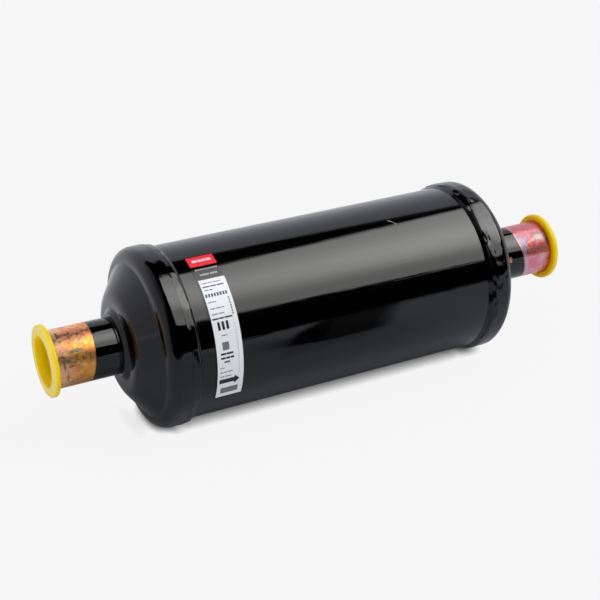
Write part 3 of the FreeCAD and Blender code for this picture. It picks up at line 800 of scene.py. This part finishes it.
SCRATCH_PATH = ((32.0, 73.0), (32.9, 72.1), (33.8, 70.7), (34.4, 69.4), (34.9, 68.2))
SCRATCH_HALF = 0.3
scratch = Print(under=0.0)
for (x0, a0), (x1, a1) in zip(SCRATCH_PATH, SCRATCH_PATH[1:]):
    scratch.solid([(x0, a0 - SCRATCH_HALF), (x1, a1 - SCRATCH_HALF),
                   (x1, a1 + SCRATCH_HALF), (x0, a0 + SCRATCH_HALF)])
scratch.done("shell_scratch", "bare_scratch", (176, 174, 168))

steel = plain("plated_steel", (0.55, 0.55, 0.56, 1), (0.42, 0.42, 0.43, 1), 0.35, 1.0, 600)
carried = {
    "label": label_film(),
    "outlet_weld_stop": paint,
    "solid_core": plain("moulded_desiccant", rgb(206, 190, 166), rgb(178, 160, 136), 0.9,
                        scale=900, grain=0.0003),
    "core_gasket": plain("felt", rgb(232, 230, 222), rgb(208, 205, 196), 0.95, scale=1500,
                         grain=0.0002, stretch=(1, 3, 3)),
    "filter_mat": plain("polyester_mat", rgb(236, 236, 232), rgb(214, 214, 208), 0.95,
                        scale=1100, grain=0.0003, stretch=(3, 1, 1)),
    "outlet_screen": woven_wire(),
    "outlet_plate": steel,
    "spring_plate": steel,
    "core_spring": plain("spring_steel", (0.30, 0.30, 0.31, 1), (0.20, 0.20, 0.21, 1), 0.3, 1.0,
                         500, stretch=(0.3, 1, 1)),
}
for name, material in carried.items():
    for slot in nodes[name].material_slots:
        slot.material = material


# The studio: one softbox that only reflections see, a pale floor, and a world with soft walls.
FLOOR_Z = -SKIRT_R * MM - 0.0002
FLOOR_REACH = 9
BOX_NORMAL = Vector((0.3920, 0.4540, 0.8001))
BOX_ALONG = Vector((0.8752, 0.0839, -0.4764))
BOX_ACROSS = Vector((-0.2834, 0.8870, -0.3645))
BOX_DISTANCE = 0.309
BOX_OUTLINE = ((-0.22, -1.62), (0.46, -1.62), (0.30, -0.60), (0.145, -0.075), (-0.15, -0.075),
               (-0.225, -0.25), (-0.255, -0.45), (-0.250, -0.71))
BACKGROUND = 0.922
FLOOR_WHITE = 0.929


def softbox_glow():
    """Brightest on a line near its far, lower edge, falling off to both sides and to the left."""
    n = material_nodes("softbox_glow")

    def along(axis):
        node = n.add("ShaderNodeVectorMath", operation="DOT_PRODUCT")
        n.put(node.inputs[0], n.place)
        n.put(node.inputs[1], axis)
        return node.outputs["Value"]

    a, b = along(BOX_ALONG), along(BOX_ACROSS)
    away = n.math("ADD", b, 0.315)
    width = n.line(n.math("LESS_THAN", away, 0.0), 0.10, 0.18)
    part = n.math("DIVIDE", away, width)
    hot = n.math("EXPONENT", n.times(part, part, -1.0))
    side = n.math("MINIMUM", n.math("MAXIMUM", n.line(a, 2.0, 1.02), 0.74), 1.12)
    level = n.times(n.line(n.times(hot, side), 3.25, 2.4), n.ramp(b, -0.077, -0.099),
                    n.ramp(b, -1.62, -1.50))
    shader = n.add("ShaderNodeEmission")
    n.put(shader.inputs["Color"], (1.0, 1.0, 0.985, 1))
    n.put(shader.inputs["Strength"], level)
    return n.finish(shader.outputs[0])


def staged(name, corners, material):
    """A flat panel of the studio, which isn't part of the object."""
    mesh = bpy.data.meshes.new(name)
    mesh.from_pydata(corners, [], [range(len(corners))])
    mesh.materials.append(material)
    obj = link(name, mesh)
    return obj


def seen_directly(n, ray):
    return n.math("MAXIMUM", ray.outputs["Is Camera Ray"], ray.outputs["Is Transmission Ray"])


def contact_shade(n, x):
    """The floor's own level close to the object: darker within a short reach of what touches it."""
    reach = n.line(n.ramp(n.math("ABSOLUTE", x), 0.066, 0.074), -0.0015, 0.006)
    reach = n.line(n.ramp(x, -0.074, -0.080), -0.0012, reach)
    reach = n.line(n.ramp(x, -0.084, -0.092), 0.0062, reach)
    close = n.add("ShaderNodeAmbientOcclusion", samples=8)
    n.put(close.inputs["Distance"], reach)
    gap = n.math("SUBTRACT", 1.0, close.outputs["AO"])
    shade = n.math("SUBTRACT", 1.0, n.math("POWER", gap, 1.3))
    return n.math("MULTIPLY_ADD", shade, 1.25, -0.25, clamp=True)


def mirrored_floor(n, x, y):
    """The floor's colour in polished paint: a painted reflection, dimmer in front, dark in a strip
    there.
    """
    depth = n.ramp(y, -0.010, 0.060)
    right = n.ramp(x, 0.030, 0.115)
    level = n.math("MAXIMUM", n.line(n.math("MAXIMUM", depth, right), 0.25, 0.61), depth)
    left_side = n.line(y, 0.48, x)
    right_side = n.line(y, 0.54, x)
    nearest = n.math("ADD", n.math("MAXIMUM", n.math("SUBTRACT", 0.026, x), 0.0), y)
    inside = n.ramp(right_side, 0.008, -0.010)
    strip = n.times(n.ramp(left_side, -0.055, -0.047), inside)
    before = n.times(strip, n.ramp(y, -0.070, -0.096))
    beside = n.times(n.ramp(left_side, -0.078, -0.052), n.ramp(nearest, -0.095, -0.112),
                     n.math("SUBTRACT", 1.0, strip), inside, n.ramp(y, -0.245, -0.185))
    dark_strip = n.times(strip, n.ramp(nearest, -0.099, -0.108))
    darkness = n.line(n.ramp(left_side, -0.027, -0.031), -0.14, -0.85)
    # Painted reflection: darker just before and beside the strip, darkest in it.
    level = n.times(level, n.line(before, -0.26, 1.0), n.line(beside, -0.50, 1.0),
                    n.line(dark_strip, darkness, 1.0), n.ramp(y, -1.6, -0.9))
    cool = n.mix(depth, (0.93, 0.97, 1.06, 1), (0.97, 0.98, 1.02, 1))
    return n.scaled(cool, n.times(level, 0.9))


def pale_floor():
    """A plain pale floor. Lit as it is for diffuse light, and nearly white where it is seen."""
    n = material_nodes("pale_floor")
    x, y = n.axes()[0:2]
    ray = n.add("ShaderNodeLightPath")
    glossy = ray.outputs["Is Glossy Ray"]
    lit = n.add("ShaderNodeBsdfDiffuse")
    n.put(lit.inputs["Color"], (0.84, 0.84, 0.84, 1))
    white = n.add("ShaderNodeEmission")
    n.put(white.inputs["Strength"], n.times(contact_shade(n, x), FLOOR_WHITE))
    mirrored = n.add("ShaderNodeBsdfDiffuse")
    n.put(mirrored.inputs["Color"], mirrored_floor(n, x, y))
    seen = n.blend(0.96, lit.outputs[0], white.outputs[0])
    shown = n.blend(glossy, seen, mirrored.outputs[0])
    return n.finish(n.blend(n.math("MAXIMUM", seen_directly(n, ray), glossy), lit.outputs[0],
                            shown))


def studio_world():
    """A plain background, soft light all round, and walls that only gloss shows."""
    world = bpy.data.worlds.new("studio")
    n = Nodes(world, "ShaderNodeOutputWorld", "Generated")
    x, y, z = n.axes()
    around = n.math("ARCTAN2", x, n.times(y, -1.0))
    rise = n.math("ARCSINE", z)
    low_wall = n.ramp_degrees(rise, 49, 46.5)
    left_wall = n.ramp_degrees(around, -28, -75)
    right_wall = n.ramp_degrees(around, 62, 80)
    from_left = n.math("ABSOLUTE", n.math("ADD", around, math.radians(105)))
    overhead = n.times(n.ramp_degrees(rise, 88, 55), n.ramp_degrees(from_left, 75, 45))
    walls = n.math("MAXIMUM", n.times(low_wall, n.math("MAXIMUM", left_wall, right_wall)),
                   n.times(overhead, 0.6))
    left_level = n.line(n.ramp_degrees(around, -85, -150), 0.28, 0.52)
    right_level = n.line(n.ramp_degrees(rise, 38, 4), 0.16, 0.77)
    brightness = n.math("MAXIMUM", left_level, n.times(right_wall, right_level))
    ray = n.add("ShaderNodeLightPath")
    glossy = ray.outputs["Is Glossy Ray"]
    shown = n.add("ShaderNodeBackground")
    n.put(shown.inputs["Color"], n.mix(glossy, (1, 1, 1, 1), (0.955, 0.97, 1.06, 1)))
    plain_level = n.times(n.math("SUBTRACT", 1.0, glossy), BACKGROUND)
    n.put(shown.inputs["Strength"],
          n.math("ADD", plain_level, n.times(glossy, n.times(walls, brightness))))
    soft = n.add("ShaderNodeBackground")
    n.put(soft.inputs["Strength"], 0.60)
    return n.finish(n.blend(n.math("MAXIMUM", seen_directly(n, ray), glossy), soft.outputs[0],
                            shown.outputs[0]))


def sun(name, toward, strength, spread):
    """A very soft lamp that is seen in no reflection; toward is where it stands."""
    data = bpy.data.lights.new(name, "SUN")
    data.energy = strength
    data.angle = math.radians(spread)
    lamp = link(name, data)
    lamp.matrix_world = Vector(toward).to_track_quat("Z", "Y").to_matrix().to_4x4()
    lamp.visible_glossy = False


softbox = staged("softbox", [BOX_NORMAL * BOX_DISTANCE + BOX_ALONG * a + BOX_ACROSS * b
                             for a, b in BOX_OUTLINE], softbox_glow())
softbox.visible_camera = False
softbox.visible_diffuse = False
softbox.visible_shadow = False
softbox.visible_transmission = False
staged("floor", [(FLOOR_REACH * x, FLOOR_REACH * y, FLOOR_Z)
                 for x, y in ((-1, -1), (1, -1), (1, 1), (-1, 1))], pale_floor())
bpy.context.scene.world = studio_world()
sun("key", (0.48, -0.30, 0.82), 1.35, 35)
sun("left_fill", (-0.90, -0.30, 0.30), 0.75, 70)

CAMERA_PLACE = Vector((-0.26230, -0.49570, 0.28390))
CAMERA_LOOK = Vector((0.4098, 0.7921, -0.4524)).normalized()
camera = bpy.data.cameras.new("photo_camera")
camera.sensor_width = 36.0
camera.lens = 83.3
camera.clip_start, camera.clip_end = 0.02, 30
eye = link("photo_camera", camera)
across = CAMERA_LOOK.cross(Vector((0, 0, 1))).normalized()
upward = across.cross(CAMERA_LOOK)
turn = Matrix((across, upward, -CAMERA_LOOK)).transposed().to_4x4()
eye.matrix_world = Matrix.Translation(CAMERA_PLACE) @ turn
bpy.context.scene.camera = eye

bpy.context.scene.view_settings.view_transform = "Standard"
